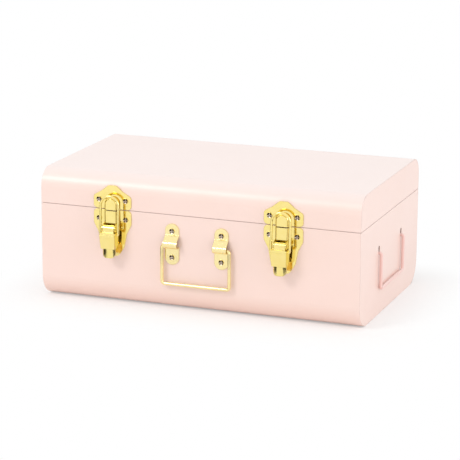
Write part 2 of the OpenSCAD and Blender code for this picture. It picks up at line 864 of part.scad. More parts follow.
// Clip inside the end panel, bridging one journal: end is -1 at the front, 1 at the back
module side_clip(side, end) {
    bore_r = side_wire_r + journal_fit;
    out_r = bore_r + clip_t;
    seat = -sheet_t;
    mid_y = end * (side_half_w - clip_set - clip_w / 2);
    color(pink) on_end(side) translate([0, mid_y, 0]) rotate([90, 0, 0]) linear_extrude(clip_w, center = true) {
        difference() {
            union() {
                translate([journal_x, 0]) circle(out_r);
                translate([journal_x, -out_r]) square([seat - journal_x, 2 * out_r]);
                translate([seat - clip_t, -out_r - clip_foot]) square([clip_t, 2 * (out_r + clip_foot)]);
            }
            translate([journal_x, 0]) circle(bore_r);
            translate([journal_x, -bore_r]) square([seat - journal_x + 1, 2 * bore_r]);
            translate([seat, -out_r]) square([side_wire_r + 1, 2 * out_r]);
        }
    }
}

body_wrap();
body_end(-1);  // body_end_left
body_end(1);  // body_end_right
body_collar();
lid_wrap();
lid_end(-1);  // lid_end_left
lid_end(1);  // lid_end_right
hinge_leaf(-hinge_x, -1);  // hinge_left_body_leaf
hinge_leaf(-hinge_x, 1);  // hinge_left_lid_leaf
hinge_pin(-hinge_x);  // hinge_left_pin
hinge_leaf(hinge_x, -1);  // hinge_right_body_leaf
hinge_leaf(hinge_x, 1);  // hinge_right_lid_leaf
hinge_pin(hinge_x);  // hinge_right_pin
hinge_rivets(-1);  // hinge_rivets_body
hinge_rivets(1);  // hinge_rivets_lid
latch_keeper(-latch_x);  // latch_left_keeper
latch_base(-latch_x);  // latch_left_base
latch_lever(-latch_x);  // latch_left_lever
latch_pin(-latch_x);  // latch_left_pin
latch_bail(-latch_x);  // latch_left_bail
latch_keeper(latch_x);  // latch_right_keeper
latch_base(latch_x);  // latch_right_base
latch_lever(latch_x);  // latch_right_lever
latch_pin(latch_x);  // latch_right_pin
latch_bail(latch_x);  // latch_right_bail
latch_rivets(-1);  // latch_rivets_body
latch_rivets(1);  // latch_rivets_lid
front_bracket(-bracket_x);  // front_bracket_left
front_bracket(bracket_x);  // front_bracket_right
front_handle();
front_bracket_rivets();
side_handle(-1);  // side_handle_left
side_handle(1);  // side_handle_right
side_clip(-1, -1);  // side_clip_left_front
side_clip(-1, 1);  // side_clip_left_back
side_clip(1, -1);  // side_clip_right_front
side_clip(1, 1);  // side_clip_right_back
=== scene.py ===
# %% [markdown]
# # A small painted steel trunk
#
# This lesson dresses a finished construction of a small steel trunk: a pink
# powder-coated case with gold toggle latches and wire handles. Every part
# already has its true size and place, so the work here is the looks: light,
# paint, plated metal, and the small forms that only show up close.
#
# The first step brings in the parts.

# %% Bring in the parts
import json
import math
import bpy
import bmesh
from mathutils import Matrix, Vector


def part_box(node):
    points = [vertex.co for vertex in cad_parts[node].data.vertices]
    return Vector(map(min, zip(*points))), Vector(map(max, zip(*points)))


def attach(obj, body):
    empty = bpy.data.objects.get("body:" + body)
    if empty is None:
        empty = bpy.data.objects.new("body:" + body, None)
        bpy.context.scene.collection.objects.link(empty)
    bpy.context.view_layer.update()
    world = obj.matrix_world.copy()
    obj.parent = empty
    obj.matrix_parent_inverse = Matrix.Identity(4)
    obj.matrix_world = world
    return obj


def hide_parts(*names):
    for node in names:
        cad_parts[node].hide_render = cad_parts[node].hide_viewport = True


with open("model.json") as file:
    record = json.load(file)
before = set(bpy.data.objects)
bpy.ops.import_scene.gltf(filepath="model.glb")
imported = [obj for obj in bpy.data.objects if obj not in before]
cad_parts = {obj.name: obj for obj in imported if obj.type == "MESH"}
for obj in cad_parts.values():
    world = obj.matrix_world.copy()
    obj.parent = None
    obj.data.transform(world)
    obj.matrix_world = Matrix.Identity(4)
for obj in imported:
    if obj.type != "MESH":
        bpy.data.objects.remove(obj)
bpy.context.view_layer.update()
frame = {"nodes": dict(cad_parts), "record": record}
bpy.ops.object.select_all(action="DESELECT")
nodes = frame["nodes"]
scene = bpy.context.scene

# %% [markdown]
# ## The camera
#
# A trunk is usually shown from a little above and to one side, so that the
# front, the lid and one end are seen together. A long lens from more than two
# metres away keeps the long edges nearly parallel. The camera could be aimed
# with a tracking constraint, but three plain turns are easier to read: a turn
# about the vertical, a tilt downwards, and a very small roll.

# %% Place the camera
stand = (0.8778, -2.3666, 0.7210)
turn_degrees, dip_degrees, roll_degrees = 20.412, 14.408, 0.373
half_pixel = 0.5 / 460


def turned(degrees, axis):
    return Matrix.Rotation(math.radians(degrees), 4, axis)


camera_data = bpy.data.cameras.new("camera")
camera = bpy.data.objects.new("camera", camera_data)
scene.collection.objects.link(camera)
scene.camera = camera
camera_data.sensor_width = 36.0
camera_data.lens = 166.8
camera_data.clip_start = 0.1
camera_data.clip_end = 60.0
camera_data.shift_x = -half_pixel
camera_data.shift_y = half_pixel
side_turn = turned(turn_degrees, "Z")
tilt = turned(90 - dip_degrees, "X")
roll = turned(roll_degrees, "Z")
camera.matrix_world = Matrix.Translation(stand) @ side_turn @ tilt @ roll
print("camera stands", round((camera.location - Vector((0, 0, 0.08))).length, 2), "m from the trunk")

# %% [markdown]
# ## Helpers for node trees
#
# Every finish is a small tree of nodes. Placing them by hand in the editor is
# quick for one material, but the finishes below repeat the same few moves, so
# each move is written once: start a material, feed a socket, stretch a range,
# calculate, and mix two colours or two shaders.

# %% Write the node helpers
def new_material(name):
    material = bpy.data.materials.new(name)
    material.use_nodes = True
    tree = material.node_tree
    return material, tree, tree.nodes["Principled BSDF"]


def feed(tree, socket, value):
    if isinstance(value, bpy.types.NodeSocket):
        tree.links.new(value, socket)
    else:
        socket.default_value = value


def ramp(tree, value, low, high, to_low, to_high):
    node = tree.nodes.new("ShaderNodeMapRange")
    node.inputs["From Min"].default_value = low
    node.inputs["From Max"].default_value = high
    node.inputs["To Min"].default_value = to_low
    node.inputs["To Max"].default_value = to_high
    tree.links.new(value, node.inputs["Value"])
    return node.outputs["Result"]


def calculate(tree, operation, first, second):
    node = tree.nodes.new("ShaderNodeMath")
    node.operation = operation
    feed(tree, node.inputs[0], first)
    feed(tree, node.inputs[1], second)
    return node.outputs["Value"]


def mix_colours(tree, mask, first, second):
    node = tree.nodes.new("ShaderNodeMix")
    node.data_type = "RGBA"
    tree.links.new(mask, node.inputs[0])
    feed(tree, node.inputs[6], first)
    feed(tree, node.inputs[7], second)
    return node.outputs[2]


def mix_shaders(tree, mask, first, second, end="Material Output"):
    node = tree.nodes.new("ShaderNodeMixShader")
    tree.links.new(mask, node.inputs["Fac"])
    tree.links.new(first, node.inputs[1])
    tree.links.new(second, node.inputs[2])
    tree.links.new(node.outputs["Shader"], tree.nodes[end].inputs["Surface"])


print("node helpers ready")

# %% [markdown]
# ## The floor
#
# The trunk stands on one large pale sheet. Near the trunk the sheet is mostly
# matt paint that takes the contact shadow; farther out it fades to pure white
# where the camera looks straight at it, as a lit paper sweep does. A curved
# sweep with lamps of its own would do the same, but it needs a set many metres
# deep, while this fade takes three lengths: half the width and half the depth
# of the matt patch, and how far the fade reaches beyond it.

# %% Mix the floor's finish
near_glow = 0.35


def paint_floor(half_wide, half_deep, fade):
    material, tree, shader = new_material("pale_floor")
    shader.inputs["Base Color"].default_value = (0.96, 0.96, 0.96, 1)
    shader.inputs["Roughness"].default_value = 0.75
    shader.inputs["Specular IOR Level"].default_value = 0.25
    place = tree.nodes.new("ShaderNodeTexCoord").outputs["Object"]
    steps = [("ABSOLUTE", None), ("SUBTRACT", (half_wide, half_deep, 0)),
             ("MAXIMUM", (0, 0, 0)), ("LENGTH", None)]
    for operation, value in steps:
        node = tree.nodes.new("ShaderNodeVectorMath")
        node.operation = operation
        tree.links.new(place, node.inputs[0])
        if value is not None:
            node.inputs[1].default_value = value
        place = node.outputs["Value" if operation == "LENGTH" else "Vector"]
    away = ramp(tree, place, 0.0, fade, near_glow, 1.0)
    away.node.interpolation_type = "SMOOTHSTEP"
    rays = tree.nodes.new("ShaderNodeLightPath")
    seen = calculate(tree, "MULTIPLY", away, rays.outputs["Is Camera Ray"])
    white = tree.nodes.new("ShaderNodeEmission")
    white.inputs["Color"].default_value = (1, 1, 1, 1)
    mix_shaders(tree, seen, shader.outputs["BSDF"], white.outputs["Emission"])
    return material


pale_floor = paint_floor(half_wide=0.19, half_deep=0.11, fade=0.10)
print("floor finish:", pale_floor.name)

# %% [markdown]
# The sheet itself is a plane.

# %% Lay the floor
bpy.ops.mesh.primitive_plane_add(size=24, location=(0, 0, 0))
floor = bpy.context.object
floor.name = "floor"
floor.data.materials.append(pale_floor)
bpy.ops.object.select_all(action="DESELECT")
print("floor laid")

# %% [markdown]
# ## The lamps
#
# Product light is soft and comes from all round, with one broad lamp from the
# upper left to give the shapes a direction. A second, larger lamp fills the
# right end, which would be grey without it. Sun lamps would be simpler, but
# they stand infinitely far away, and the slow change of light along a long
# panel comes from lamps that are near.

# %% Hang the lights
trunk_middle = (0, 0, 0.06)


def hang_lamp(name, place, width, height, power, colour):
    data = bpy.data.lights.new(name, "AREA")
    data.shape = "RECTANGLE"
    data.size = width
    data.size_y = height
    data.energy = power
    data.color = colour
    lamp = bpy.data.objects.new(name, data)
    scene.collection.objects.link(lamp)
    lamp.location = place
    aim = Vector(trunk_middle) - Vector(place)
    lamp.rotation_euler = aim.to_track_quat("-Z", "Y").to_euler()


hang_lamp("key_lamp", (-1.15, -1.75, 1.75), 0.75, 0.75, 17.8, (1.0, 0.995, 0.99))
hang_lamp("end_lamp", (2.4, -0.5, 1.0), 1.4, 1.2, 14.5, (1.0, 1.0, 1.0))

# %% [markdown]
# ## The white room
#
# In a white studio the sweep behind the object has lamps of its own, so it is
# brighter than the light that falls on the object. The world does the same job
# here: what the camera and the polished metal see is a clean white, and what
# lights the paint is a little weaker, so that the lamps still draw shadows.

# %% Build the white room
def build_room(seen, cast):
    world = bpy.data.worlds.new("white_room")
    scene.world = world
    world.use_nodes = True
    tree = world.node_tree
    glow = tree.nodes["Background"]
    glow.inputs["Color"].default_value = (1.0, 0.995, 0.99, 1)
    glow.inputs["Strength"].default_value = seen
    soft = tree.nodes.new("ShaderNodeBackground")
    soft.inputs["Color"].default_value = (1.0, 0.99, 0.985, 1)
    soft.inputs["Strength"].default_value = cast
    mask = tree.nodes.new("ShaderNodeLightPath").outputs["Is Diffuse Ray"]
    glow_light, soft_light = glow.outputs["Background"], soft.outputs["Background"]
    mix_shaders(tree, mask, glow_light, soft_light, "World Output")


build_room(seen=1.05, cast=0.80)
scene.view_settings.view_transform = "Standard"
print("room:", scene.world.name)

# %% [markdown]
# ## Dark flags for the metal
#
# Polished brass shows the room. In an all-white room it looks like yellow
# plastic, so photographers lay dark cards where only the curved metal can see
# them. The cards are hidden from every ray except a mirror-like one, so the
# floor itself stays clean. Their finish also lets a reflection that has come
# only a short way pass through, so that what is close to a card, such as the
# paint just above the floor, never shows it.

# %% Mix the flags' finish
def paint_flag(nearest):
    material, tree, shader = new_material("flag_black")
    shader.inputs["Base Color"].default_value = (0.012, 0.010, 0.008, 1)
    shader.inputs["Roughness"].default_value = 1.0
    shader.inputs["Specular IOR Level"].default_value = 0.0
    rays = tree.nodes.new("ShaderNodeLightPath")
    far = calculate(tree, "GREATER_THAN", rays.outputs["Ray Length"], nearest)
    clear = tree.nodes.new("ShaderNodeBsdfTransparent")
    mix_shaders(tree, far, clear.outputs["BSDF"], shader.outputs["BSDF"])
    return material


flag_black = paint_flag(nearest=0.235)
print("flag finish:", flag_black.name)

# %% [markdown]
# A flat plate mirrors one small patch of the floor, and the rounded lip of a
# lever mirrors a wide fan of it. Cards beside that patch therefore turn the two
# sides of the lip dark and leave the plates bright. Each card is given by its
# left, right, front and back edges, and one upright flag stands at the left.

# %% Lay the cards
card_lift = 0.0008


def stand_flag(name, centre, size, turn):
    bpy.ops.mesh.primitive_plane_add(size=1, location=centre, rotation=turn)
    flag = bpy.context.object
    flag.name = name
    flag.scale = (size[0], size[1], 1)
    flag.data.materials.append(flag_black)
    flag.visible_camera = False
    flag.visible_diffuse = False
    flag.visible_shadow = False
    flag.visible_transmission = False
    flag.visible_volume_scatter = False
    bpy.ops.object.select_all(action="DESELECT")


def lay_card(name, left, right, front, back):
    middle = ((left + right) / 2, (front + back) / 2, card_lift)
    stand_flag(name, middle, (right - left, back - front), (0, 0, 0))


lay_card("card_left", -0.75, -0.285, -0.34, 0.30)
lay_card("card_middle", -0.26, -0.08, -0.335, -0.135)
lay_card("card_inner", 0.06, 0.165, -0.355, -0.215)
lay_card("card_right", 0.245, 0.45, -0.44, -0.215)
upright_turn = (math.radians(90), 0, math.radians(70))
stand_flag("flag_left", (-0.80, -0.30, 0.22), (0.6, 0.3), upright_turn)

# %% [markdown]
# ## Shared surface effects
#
# Real paint and plating are never perfectly even. Each effect is made once as
# a node group, so that several finishes can share it and each can set its own
# scale. A group could hold a whole finish, but these give only a height or a
# mask, and the finish itself decides what to do with it.

# %% Write the group helpers
def new_group(name, dial, setting, results):
    group = bpy.data.node_groups.new(name, "ShaderNodeTree")
    group.interface.new_socket("Position", in_out="INPUT", socket_type="NodeSocketVector")
    socket = group.interface.new_socket(dial, in_out="INPUT", socket_type="NodeSocketFloat")
    socket.default_value = setting
    for label in results:
        group.interface.new_socket(label, in_out="OUTPUT", socket_type="NodeSocketFloat")
    start = group.nodes.new("NodeGroupInput")
    end = group.nodes.new("NodeGroupOutput")
    return group, start, end


def noise(tree, position, scale, detail, roughness):
    node = tree.nodes.new("ShaderNodeTexNoise")
    node.inputs["Detail"].default_value = detail
    node.inputs["Roughness"].default_value = roughness
    tree.links.new(position, node.inputs["Vector"])
    feed(tree, node.inputs["Scale"], scale)
    return node.outputs["Fac"]


print("group helpers ready")

# %% [markdown]
# Sprayed powder melts into a skin with a very fine, even ripple, which painters
# call orange peel. Real displacement would need millions of faces at this size,
# so fine noise is used as a height for bump. A second, much wider noise gives
# the slow clouds of colour that a thick coat has.

# %% Build the orange peel
peel_scale = 900.0
cloud_scale = 22.0


def build_orange_peel():
    group, start, end = new_group("orange_peel", "Scale", peel_scale, ["Height", "Cloud"])
    position = start.outputs["Position"]
    fine = noise(group, position, start.outputs["Scale"], 3.0, 0.6)
    cloud = noise(group, position, cloud_scale, 4.0, 0.55)
    group.links.new(fine, end.inputs["Height"])
    group.links.new(ramp(group, cloud, 0.3, 0.7, 0.0, 1.0), end.inputs["Cloud"])
    return group


orange_peel = build_orange_peel()
print("effect group:", orange_peel.name)

# %% [markdown]
# Hands leave faint marks that are seen only as a change of gloss. They could be
# painted on an image, but soft noise with its middle range stretched gives the
# same uneven patches at any size.

# %% Build the handling marks
paint_marks_scale = 35.0
metal_marks_scale = 120.0


def build_handling():
    group, start, end = new_group("handling_marks", "Scale", paint_marks_scale, ["Mask"])
    marks = noise(group, start.outputs["Position"], start.outputs["Scale"], 5.0, 0.65)
    group.links.new(ramp(group, marks, 0.42, 0.66, 0.0, 1.0), end.inputs["Mask"])
    return group


handling = build_handling()
print("effect group:", handling.name)

# %% [markdown]
# A polishing wheel leaves straight hairlines on the metal before it is plated.
# Noise that is squeezed across and left long in the upright direction gives
# such lines without drawing a single one.

# %% Build the hairlines
hairline_scale = 260.0
squeeze = (14.0, 14.0, 1.0)


def build_hairlines():
    group, start, end = new_group("hairlines", "Scale", hairline_scale, ["Height"])
    stretch = group.nodes.new("ShaderNodeMapping")
    stretch.inputs["Scale"].default_value = squeeze
    group.links.new(start.outputs["Position"], stretch.inputs["Vector"])
    lines = noise(group, stretch.outputs["Vector"], start.outputs["Scale"], 2.0, 0.5)
    group.links.new(lines, end.inputs["Height"])
    return group


hairlines = build_hairlines()
print("effect group:", hairlines.name)

# %% [markdown]
# A darker line is painted round each plate's cut edge: a painted shade and
# painted reflection of the dark surroundings that a thin edge catches. A mask for
# it could be painted by hand. Here the true normal is compared with one that is
# rounded over the edges: where the two disagree there is an edge.

# %% Build the painted edge shade
edge_radius = 0.0004


def build_painted_edge_shade():
    group, start, end = new_group("painted_edge_shade", "Radius", edge_radius, ["Mask"])
    rounded = group.nodes.new("ShaderNodeBevel")
    rounded.samples = 6
    flat = group.nodes.new("ShaderNodeNewGeometry")
    agree = group.nodes.new("ShaderNodeVectorMath")
    agree.operation = "DOT_PRODUCT"
    group.links.new(start.outputs["Radius"], rounded.inputs["Radius"])
    group.links.new(rounded.outputs["Normal"], agree.inputs[0])
    group.links.new(flat.outputs["Normal"], agree.inputs[1])
    # painted edge shade: the mask is 1 where the rounded and true normals disagree
    painted_edge_mask = ramp(group, agree.outputs["Value"], 0.74, 0.95, 1.0, 0.0)
    group.links.new(painted_edge_mask, end.inputs["Mask"])
    return group


painted_edge_shade = build_painted_edge_shade()
print("effect group:", painted_edge_shade.name)

# %% [markdown]
# ## The finishes
#
# Thin pressed parts have edges that are softly rounded by the paint or by the
# polishing wheel. Rounding them in the mesh would multiply the faces, so a
# Bevel node rounds them in the light only. The same helper cell holds the bump
# and the call that places an effect group in a finish.

# %% Write the finish helpers
def use_group(tree, group, place, **values):
    node = tree.nodes.new("ShaderNodeGroup")
    node.node_tree = group
    tree.links.new(place, node.inputs["Position"])
    for label, value in values.items():
        node.inputs[label].default_value = value
    return node


def round_edges(tree, radius):
    node = tree.nodes.new("ShaderNodeBevel")
    node.samples = 4
    node.inputs["Radius"].default_value = radius
    return node.outputs["Normal"]


def add_bump(tree, shader, height, strength, distance, normal):
    node = tree.nodes.new("ShaderNodeBump")
    node.inputs["Strength"].default_value = strength
    node.inputs["Distance"].default_value = distance
    tree.links.new(height, node.inputs["Height"])
    tree.links.new(normal, node.inputs["Normal"])
    tree.links.new(node.outputs["Normal"], shader.inputs["Normal"])


print("finish helpers ready")

# %% [markdown]
# ## The paint
#
# The case is sheet steel with a thick satin powder coat. Powder flows while it
# bakes, so edges look softly rounded and the surface keeps a very fine texture.
# Surfaces that face up are painted paler: a painted sheen that stands for the
# white room mirrored at a low angle. Those that face down are painted a deeper
# colour: a painted shade for the underside. One plain colour would look flat, and
# these two painted layers put the light and shade into the coat. The end handles
# get a deeper copy of the same paint, a painted shade for the shading that their
# thin wires show, so one recipe mixes both. Four numbers describe a layer: where
# it starts and ends, from -1 for a face that looks straight down to 1 for one that
# looks straight up, and how strong it is at both of these.

# %% Mix the paint
# painted sheen on faces that look up, painted shade on faces that look down
painted_sheen_range = (0.45, 0.98, 0.0, 0.6)
painted_shade_range = (-0.75, -0.05, 0.8, 0.0)
satin = (0.38, 0.43)


def mix_paint(name, light, deep, painted_top_sheen, painted_under_shade, edge):
    material, tree, shader = new_material(name)
    where = tree.nodes.new("ShaderNodeTexCoord")
    place = where.outputs["Object"]
    peel = use_group(tree, orange_peel, place, Scale=peel_scale)
    marks = use_group(tree, handling, place, Scale=paint_marks_scale)
    colour = mix_colours(tree, peel.outputs["Cloud"], light, deep)
    upward = tree.nodes.new("ShaderNodeSeparateXYZ")
    tree.links.new(where.outputs["Normal"], upward.inputs[0])
    # paler colour on upward faces is painted sheen; deeper colour on downward faces is painted shade
    colour = mix_colours(tree, ramp(tree, upward.outputs["Z"], *painted_sheen_range), colour, painted_top_sheen)
    colour = mix_colours(tree, ramp(tree, upward.outputs["Z"], *painted_shade_range), colour, painted_under_shade)
    tree.links.new(colour, shader.inputs["Base Color"])
    rough = ramp(tree, marks.outputs["Mask"], 0.0, 1.0, *satin)
    tree.links.new(rough, shader.inputs["Roughness"])
    shader.inputs["Specular IOR Level"].default_value = 0.55
    shader.inputs["Coat Weight"].default_value = 0.60
    shader.inputs["Coat Roughness"].default_value = 0.36
    add_bump(tree, shader, peel.outputs["Height"], 0.12, 0.0003, round_edges(tree, edge))
    return material


pink_paint = mix_paint(
    "pink_powder_coat", light=(0.905, 0.70, 0.635, 1), deep=(0.895, 0.688, 0.618, 1),
    painted_top_sheen=(0.93, 0.85, 0.83, 1), painted_under_shade=(0.91, 0.645, 0.56, 1), edge=0.0006)
# a deeper copy of the pink paint for the end handles: painted shade on the thin wires
shaded_wire_paint = mix_paint(
    "pink_wire_painted_shade", light=(0.90, 0.61, 0.56, 1), deep=(0.88, 0.58, 0.53, 1),
    painted_top_sheen=(0.92, 0.76, 0.72, 1), painted_under_shade=(0.87, 0.55, 0.50, 1), edge=0.0004)
print("paints:", pink_paint.name, shaded_wire_paint.name)

# %% [markdown]
# ## The crinkle on the folds
#
# The handle's brackets are folded after plating, and the skin over the fold
# breaks up into small dents that glitter. Modelling them would be endless work
# for a strip a few millimetres high, so the same dents are a bump that fades in
# and out between two heights.

# %% Write the crinkle
crinkle_scale = 520.0


def crinkle(tree, place, low, high, soft):
    upright = tree.nodes.new("ShaderNodeSeparateXYZ")
    tree.links.new(place, upright.inputs[0])
    rise = ramp(tree, upright.outputs["Z"], low - soft, low, 0.0, 1.0)
    fall = ramp(tree, upright.outputs["Z"], high, high + soft, 1.0, 0.0)
    dents = noise(tree, place, crinkle_scale, 2.0, 0.5)
    return calculate(tree, "MULTIPLY", calculate(tree, "MULTIPLY", dents, rise), fall)


print("crinkle ready")

# %% [markdown]
# ## The plating
#
# The latches are brass plated and polished, and the front handle is a paler
# brass. A plain metal of one colour and gloss would look like plastic foil, so
# the recipe adds the handling marks, the hairlines, a darker line painted along
# the cut edge as painted shade and reflection, and where it is asked to, the
# crinkle.

# %% Mix the plating
painted_edge_shade_share = 2.2


def mix_plating(name, light, deep, painted_edge_colour, rough_low, rough_high, edge, folds=None):
    material, tree, shader = new_material(name)
    place = tree.nodes.new("ShaderNodeTexCoord").outputs["Object"]
    marks = use_group(tree, handling, place, Scale=metal_marks_scale)
    lines = use_group(tree, hairlines, place, Scale=hairline_scale)
    painted_edge_mask = use_group(tree, painted_edge_shade, place, Radius=edge * painted_edge_shade_share)
    colour = mix_colours(tree, marks.outputs["Mask"], light, deep)
    # painted edge shade: a darker colour laid along the cut edges
    colour = mix_colours(tree, painted_edge_mask.outputs["Mask"], colour, painted_edge_colour)
    tree.links.new(colour, shader.inputs["Base Color"])
    shader.inputs["Metallic"].default_value = 1.0
    rough = ramp(tree, marks.outputs["Mask"], 0.0, 1.0, rough_low, rough_high)
    tree.links.new(rough, shader.inputs["Roughness"])
    add_bump(tree, shader, lines.outputs["Height"], 0.05, 0.0001, round_edges(tree, edge))
    if folds is not None:
        fine = shader.inputs["Normal"].links[0].from_socket
        add_bump(tree, shader, crinkle(tree, place, *folds), 0.5, 0.0008, fine)
    return material


print("plating recipe ready")

# %% [markdown]
# The brackets and the handle are of the same pale brass. The brackets alone get
# the crinkle, between the two heights at which their sheet is folded.

# %% Mix the golds
# third colour of each set: the painted edge shade along cut edges
latch_colours = (0.92, 0.77, 0.30, 1), (0.90, 0.745, 0.255, 1), (0.34, 0.24, 0.045, 1)
pale_brass_painted_edge = (0.50, 0.37, 0.15, 1)
handle_colours = (0.94, 0.81, 0.42, 1), (0.92, 0.78, 0.38, 1), pale_brass_painted_edge
plate_edge = 0.0003
bracket_folds = (0.0765, 0.0915, 0.002)
latch_gold = mix_plating("latch_plating", *latch_colours, 0.09, 0.15, plate_edge)
handle_gold = mix_plating("handle_plating", *handle_colours, 0.12, 0.20, plate_edge)
bracket_gold = mix_plating(
    "bracket_plating", *handle_colours, 0.12, 0.20, plate_edge, bracket_folds)
print("golds:", latch_gold.name, handle_gold.name, bracket_gold.name)

# %% [markdown]
# ## Putting the finishes on
#
# Every part of the construction says what it is covered with: the pink paint,
# the latches' gold or the handle's gold. The finishes could be given out by
# hand, part by part, but the construction's own list can't forget one. Two
# pairs of parts then get their special recipe.

# %% Put the finishes on
finish_of_slot = {"pink_paint": pink_paint, "latch_gold": latch_gold, "handle_gold": handle_gold}
slot_of = {part["node"]: part["material_slot"] for part in frame["record"]["subparts"]}


def coat(piece, finish):
    piece.data.materials.clear()
    piece.data.materials.append(finish)


for name, node in nodes.items():
    coat(node, finish_of_slot[slot_of[name]])
for side in ("left", "right"):
    coat(nodes["side_handle_" + side], shaded_wire_paint)
    coat(nodes["front_bracket_" + side], bracket_gold)
print("coated", len(nodes), "parts")

# %% [markdown]
# ## The rivets
#
# The plates are held by hollow rivets. The setting tool rolls the end of the
# tube outwards and splits it, which leaves a rounded gold rim, a paler dish, a
# small pin in the middle and gaps between the petals. Three finishes of the same
# plating recipe colour them, and the gaps' near-black one is a painted shade for
# the shadowed inside of the dish. A single gold would lose the form, because the
# whole head is only a few millimetres wide.

# %% Mix the rivets' finishes
rivet_edge = 0.0002
# each set's third colour is the painted edge shade
rim_colours = (0.90, 0.76, 0.34, 1), (0.86, 0.70, 0.28, 1), pale_brass_painted_edge
dish_colours = (0.66, 0.56, 0.47, 1), (0.58, 0.47, 0.38, 1), (0.26, 0.19, 0.12, 1)
# near-black gap colours: painted shade in the splits, the shadowed upper inside of the dish
gap_painted_shade_colours = (0.055, 0.034, 0.018, 1), (0.030, 0.018, 0.010, 1), (0.03, 0.02, 0.01, 1)
rivet_rim = mix_plating("rivet_rim", *rim_colours, 0.14, 0.22, rivet_edge)
rivet_dish = mix_plating("rivet_dish", *dish_colours, 0.30, 0.42, rivet_edge)
rivet_gap_painted_shade = mix_plating("rivet_gap_painted_shade", *gap_painted_shade_colours, 0.55, 0.70, rivet_edge)
print("rivet finishes:", rivet_rim.name, rivet_dish.name, rivet_gap_painted_shade.name)

# %% [markdown]
# The form is round, so it is drawn as rings, each with a radius and a height in
# millimetres above the plate: from the tail inside the sheet, up the shank, over
# the rim and down into the dish and its pin. The grip is the thickness of the
# sheets that the rivet holds together.

# %% List the rings
mm = 0.001


def rivet_rings(grip):
    tail = [(1.9, -grip - 0.7), (2.55, -grip - 0.68), (2.8, -grip - 0.45), (2.8, -grip - 0.02)]
    shank = [(1.6, -grip - 0.01), (1.6, -0.01)]
    rim = [(3.2, 0.0), (3.3, 0.2), (3.3, 0.6), (3.2, 0.88), (3.05, 0.98)]
    dish = [(2.85, 0.86), (2.4, 0.6), (1.7, 0.45), (0.95, 0.4)]
    pin = [(0.85, 0.62), (0.6, 0.76), (0.25, 0.8)]
    return tail + shank + rim + dish + pin


print("rings in a rivet:", len(rivet_rings(0)))

# %% [markdown]
# The splits between the petals are faces of the dish. Each face is asked for its
# clock angle and its reach from the middle; those in a gap are pushed in and
# given the near-black finish, a painted shade for the shadowed inside of the
# dish. The two wide gaps face up to the left and right, where that shade falls.
# A boolean cut would do it too, but it leaves ragged faces on a form this small.

# %% Split the petals
# the two wide gaps face up-left and up-right, where the inside of the dish is in shade
petal_gaps = [(-84, -16), (16, 84), (122, 150), (-152, -128)]
pin_reach = 1.0 * mm
dish_reach = 3.0 * mm
dish_floor = 0.3 * mm
gap_border = 0.08 * mm
gap_depth = 0.22 * mm


def face_clock(face):
    middle = face.calc_center_median()
    return math.degrees(math.atan2(middle.x, middle.y)), math.hypot(middle.x, middle.y), middle.z


def split_petals(piece):
    shape = bmesh.from_edit_mesh(piece.data)
    for face in shape.faces:
        clock, reach, height = face_clock(face)
        in_dish = reach < dish_reach and height > dish_floor
        face.material_index = 1 if in_dish else 0
        in_gap = in_dish and pin_reach < reach and any(a < clock < b for a, b in petal_gaps)
        face.select_set(in_gap)
        if in_gap:
            # index 2 is the near-black gap finish, a painted shade
            face.material_index = 2
    bmesh.update_edit_mesh(piece.data)
    bpy.ops.mesh.inset(thickness=gap_border, depth=-gap_depth, use_boundary=True)


print("gaps between petals:", len(petal_gaps))

# %% [markdown]
# A circle is extruded and resized from ring to ring, and both ends are closed.
# Spinning a profile would do the same, but the rings keep every size in one
# list. The brackets are thicker than the plates, so their rivets grip more.

# %% Roll one rivet
ring_corners = 28
plate_grip = 1.8
bracket_grip = 2.0
rivet_crease = math.radians(50)


def draw_rings(rings):
    radius, height = rings[0]
    bpy.ops.mesh.primitive_circle_add(
        vertices=ring_corners, radius=radius * mm, location=(0, 0, height * mm))
    bpy.ops.object.transform_apply(location=True, rotation=True, scale=True)
    bpy.ops.object.mode_set(mode="EDIT")
    bpy.ops.mesh.select_all(action="SELECT")
    for next_radius, next_height in rings[1:]:
        step = (next_height - height) * mm
        bpy.ops.mesh.extrude_edges_move(TRANSFORM_OT_translate={"value": (0, 0, step)})
        grow = next_radius / radius
        bpy.ops.transform.resize(value=(grow, grow, 1), center_override=(0, 0, next_height * mm))
        radius, height = next_radius, next_height
    return bpy.context.object


def roll_rivet(grip):
    piece = draw_rings(rivet_rings(grip))
    bpy.ops.mesh.edge_face_add()
    bpy.ops.mesh.select_all(action="DESELECT")
    bpy.ops.mesh.select_non_manifold()
    bpy.ops.mesh.edge_face_add()
    bpy.ops.mesh.select_all(action="SELECT")
    bpy.ops.mesh.normals_make_consistent(inside=False)
    split_petals(piece)
    bpy.ops.object.mode_set(mode="OBJECT")
    for finish in (rivet_rim, rivet_dish, rivet_gap_painted_shade):
        piece.data.materials.append(finish)
    bpy.ops.object.shade_smooth_by_angle(angle=rivet_crease)
    bpy.ops.object.select_all(action="DESELECT")
    return piece


plate_rivet = roll_rivet(plate_grip)
bracket_rivet = roll_rivet(bracket_grip)
print("one rivet has", len(plate_rivet.data.polygons), "faces")

# %% [markdown]
# ## Setting the rivets
#
# A rivet is modelled once and copied, each copy with its own mesh. The copies
# of one plate row become one piece, which stands for the plain rivets of the
# construction and moves with the same part of the trunk. The plain heads stand
# 1.1 mm above their plate, and that tells where the plate's face is. The hinges
# are painted together with the case, so their rivets are covered with paint too.

# %% Write how a row is set
plain_head = 1.1
towards_front = turned(90, "X")
towards_back = turned(180, "Z") @ towards_front


